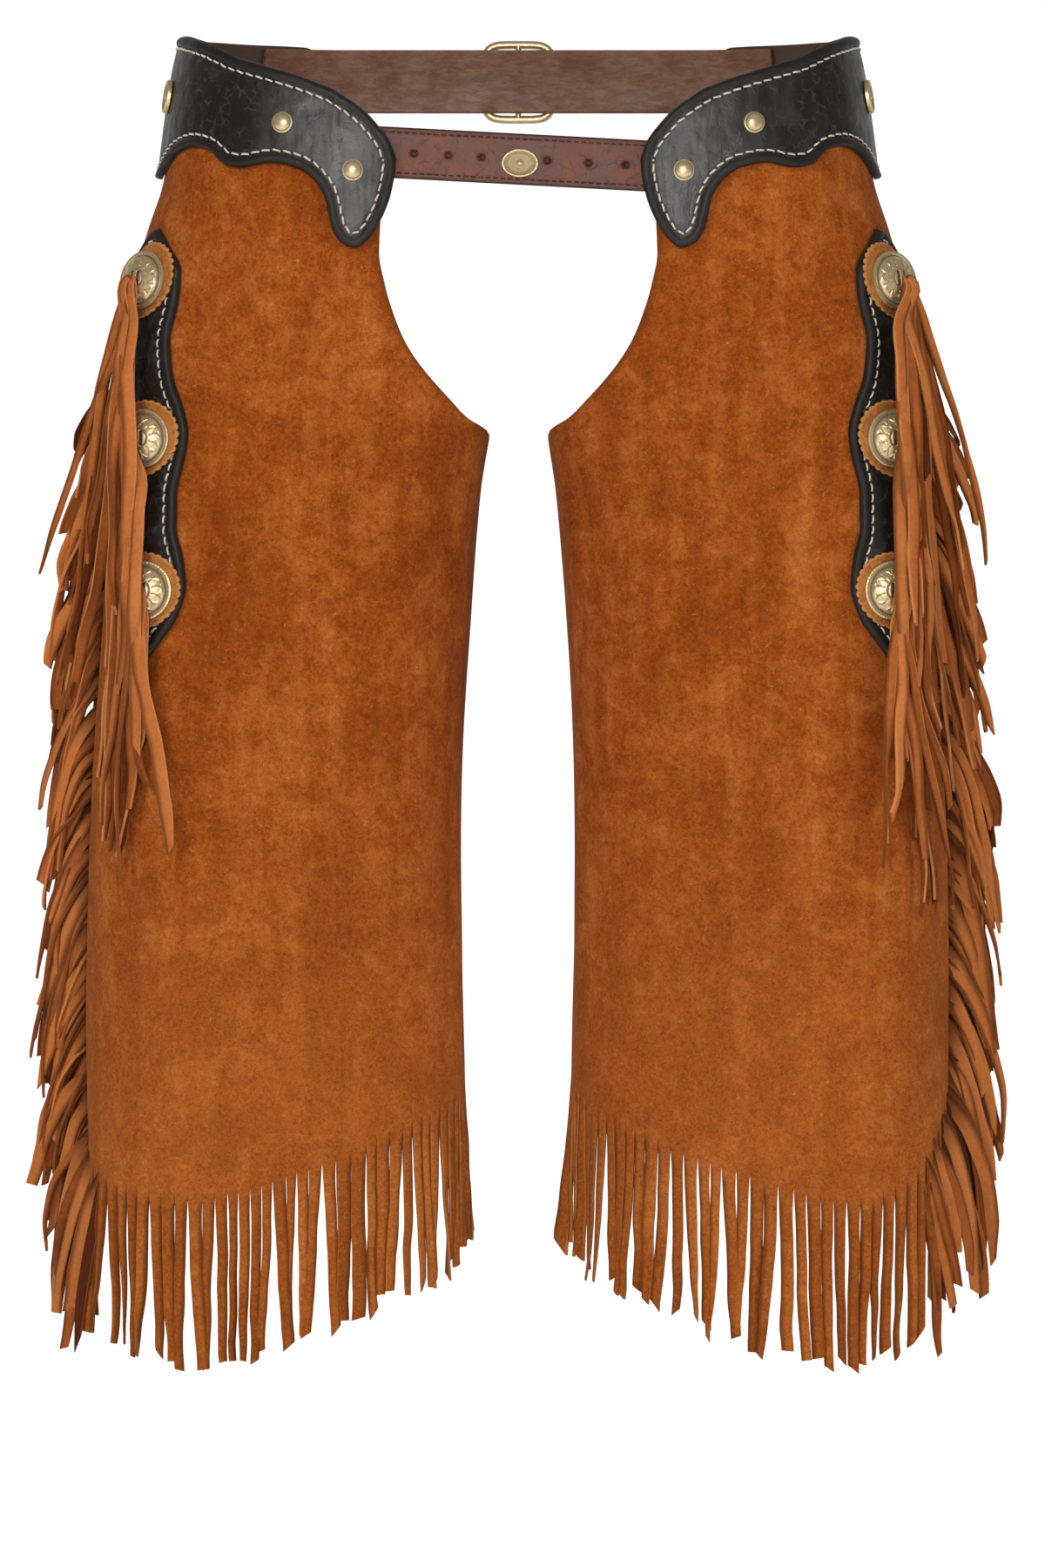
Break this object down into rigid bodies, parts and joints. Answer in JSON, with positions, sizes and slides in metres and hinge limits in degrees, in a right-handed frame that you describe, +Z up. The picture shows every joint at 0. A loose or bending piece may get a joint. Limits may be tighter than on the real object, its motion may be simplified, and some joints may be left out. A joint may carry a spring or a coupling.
{
  "type": "leather chaps",
  "caption": "Open-backed fringed leather chaps: two suede leg panels under black scalloped hip yokes, joined by a front strap and a buckled back belt.",
  "frame": {"origin": "middle of the wearer's hips, at the height of the back belt and hip yokes: halfway between the sides, and between the front strap and the back belt", "axes": "+Z up; -Y is the wearer's front; +X is the wearer's left"},
  "size_m": [0.5818, 0.2452, 0.7907],
  "materials": {
    "suede": "napped suede, orange-brown",
    "thongs": "napped suede, paler at the cut edges",
    "black_leather": "waxed, fine crackle, cream stitching at the edge",
    "rosettes": "raw tan leather with a pinked edge",
    "strap_leather": "waxed reddish brown with stitched edges",
    "brass": "antique, darkened in its grooves"
  },
  "bodies": {
    "root": {"leg_panel_right": "suede", "hem_fringe_right": "suede", "side_fringe_right": "suede", "yoke_right": "black_leather", "concho_strip_right": "black_leather", "rosette_top_right": "rosettes", "concho_top_right": "brass", "thongs_top_right": "thongs", "rosette_middle_right": "rosettes", "concho_middle_right": "brass", "thongs_middle_right": "thongs", "rosette_low_right": "rosettes", "concho_low_right": "brass", "thongs_low_right": "thongs", "stud_upper_right": "brass", "stud_lower_right": "brass", "hip_button_right": "brass", "leg_strap_upper_right": "strap_leather", "leg_buckle_upper_right": "brass", "leg_strap_lower_right": "strap_leather", "leg_buckle_lower_right": "brass", "leg_panel_left": "suede", "hem_fringe_left": "suede", "side_fringe_left": "suede", "yoke_left": "black_leather", "concho_strip_left": "black_leather", "rosette_top_left": "rosettes", "concho_top_left": "brass", "thongs_top_left": "thongs", "rosette_middle_left": "rosettes", "concho_middle_left": "brass", "thongs_middle_left": "thongs", "rosette_low_left": "rosettes", "concho_low_left": "brass", "thongs_low_left": "thongs", "stud_upper_left": "brass", "stud_lower_left": "brass", "hip_button_left": "brass", "leg_strap_upper_left": "strap_leather", "leg_buckle_upper_left": "brass", "leg_strap_lower_left": "strap_leather", "leg_buckle_lower_left": "brass", "front_strap": "strap_leather", "front_button": "brass", "back_belt": "strap_leather", "belt_buckle": "brass"}
  },
  "joints": []
}
